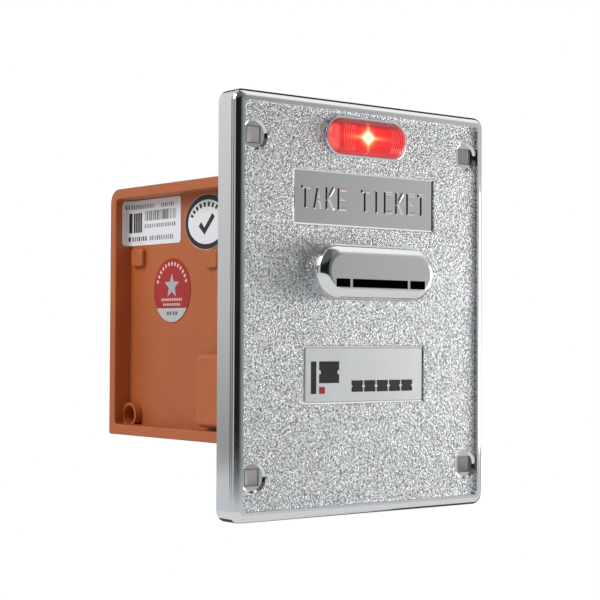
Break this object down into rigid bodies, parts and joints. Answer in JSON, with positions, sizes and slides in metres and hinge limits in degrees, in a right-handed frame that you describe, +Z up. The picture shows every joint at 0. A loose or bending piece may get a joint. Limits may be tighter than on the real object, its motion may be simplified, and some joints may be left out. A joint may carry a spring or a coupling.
{
  "type": "panel-mounted ticket dispenser",
  "caption": "Chrome faceplate with a lit lamp lens, ticket outlet slot and square bolt holes, over an orange motorised ticket feeding unit.",
  "frame": {"origin": "centre of the faceplate, on the plane its back rim lies in, which is the front face of the cabinet it is bolted to", "axes": "+X to the right seen from the front, +Y into the cabinet, +Z up"},
  "size_m": [0.1264, 0.1375, 0.158],
  "materials": {
    "chrome": "bright chrome plating over a grained die casting, smooth on the rim, outlet and sunk panels",
    "silver_label": null,
    "red_lens": "clear red moulding with ribs at both ends",
    "white_plastic": "white moulding",
    "acetal": "off-white acetal",
    "led": "lit lamp",
    "board": "green solder mask",
    "lead": "insulated wire",
    "black_plastic": "fine-grained black moulding",
    "orange_plastic": "satin orange-brown moulding",
    "white_label": null,
    "ring_label": "white oval sticker in a black ring with a tick",
    "red_label": "red round sticker with a grey segment",
    "steel": "zinc-plated steel sheet",
    "bright_steel": "bright steel",
    "brass": "turned brass",
    "roller_rubber": "grooved soft rubber",
    "button_red": "red moulding"
  },
  "bodies": {
    "frame": {"faceplate": "chrome", "outlet_bezel": "chrome", "name_label": "silver_label", "lamp_lens": "red_lens", "lamp_holder": "white_plastic", "harness_socket": "white_plastic", "lamp_led": "led", "lamp_board": "board", "control_board": "board", "lamp_leads": "lead", "throat_lower": "black_plastic", "throat_upper": "black_plastic", "lower_guide": "black_plastic", "upper_guide": "black_plastic", "sensor_emitter": "black_plastic", "sensor_receiver": "black_plastic", "motor_end_cap": "black_plastic", "board_chips": "black_plastic", "board_capacitors": "black_plastic", "button_switch": "black_plastic", "housing": "orange_plastic", "side_cover": "orange_plastic", "serial_label": "white_label", "inspection_label": "ring_label", "seal_label": "red_label", "mount_bracket": "steel", "chassis_plate": "steel", "spring_strap": "steel", "motor_can": "steel", "gear_axle": "bright_steel", "gear_clip": "bright_steel", "pivot_pin": "bright_steel", "pinch_spring": "bright_steel", "throat_screws": "bright_steel", "bracket_screws": "bright_steel", "ear_screws": "bright_steel", "case_screws": "bright_steel", "chassis_screws": "bright_steel", "motor_screws": "bright_steel", "strap_screws": "bright_steel", "board_screws": "bright_steel", "guide_screws": "bright_steel", "motor_terminals": "brass", "harness_pins": "brass", "shaft_bushes": "brass"},
    "drive": {"drive_shaft": "bright_steel", "shaft_clips": "bright_steel", "roller_hub": "acetal", "drive_roller": "roller_rubber", "output_gear": "acetal"},
    "idler": {"compound_gear": "acetal"},
    "rotor": {"motor_shaft": "bright_steel", "motor_pinion": "brass"},
    "arm": {"pinch_arm": "steel", "pinch_axle": "bright_steel"},
    "pinch": {"pinch_roller": "acetal"},
    "button": {"feed_button": "button_red"}
  },
  "joints": [
    {"name": "motor_spin", "type": "hinge", "parent": "frame", "child": "rotor", "pos_m": [0.017, 0.07896, -0.03438], "axis": [1, 0, 0], "continuous": true},
    {"name": "idler_spin", "type": "hinge", "parent": "frame", "child": "idler", "pos_m": [0.022, 0.066, -0.0171], "axis": [1, 0, 0], "continuous": true},
    {"name": "drive_spin", "type": "hinge", "parent": "frame", "child": "drive", "pos_m": [0, 0.046, -0.0021], "axis": [1, 0, 0], "continuous": true},
    {"name": "pinch_lift", "type": "hinge", "parent": "frame", "child": "arm", "pos_m": [0, 0.068, 0.02], "axis": [-1, 0, 0], "range_deg": [0, 4], "stiffness_Nm_per_rad": 0.16, "springref_deg": -17.19, "deforming": ["pinch_spring"]},
    {"name": "pinch_spin", "type": "hinge", "parent": "arm", "child": "pinch", "pos_m": [0, 0.046, 0.0162], "axis": [1, 0, 0], "continuous": true},
    {"name": "button_press", "type": "slide", "parent": "frame", "child": "button", "axis": [0, -1, 0], "range_m": [0, 0.0012], "stiffness_N_per_m": 600, "springref_m": -0.002}
  ],
  "couplings": [
    {"joint": "idler_spin", "follows": "motor_spin", "ratio": -0.28571},
    {"joint": "drive_spin", "follows": "motor_spin", "ratio": 0.11111},
    {"joint": "pinch_spin", "follows": "motor_spin", "ratio": -0.1746}
  ]
}
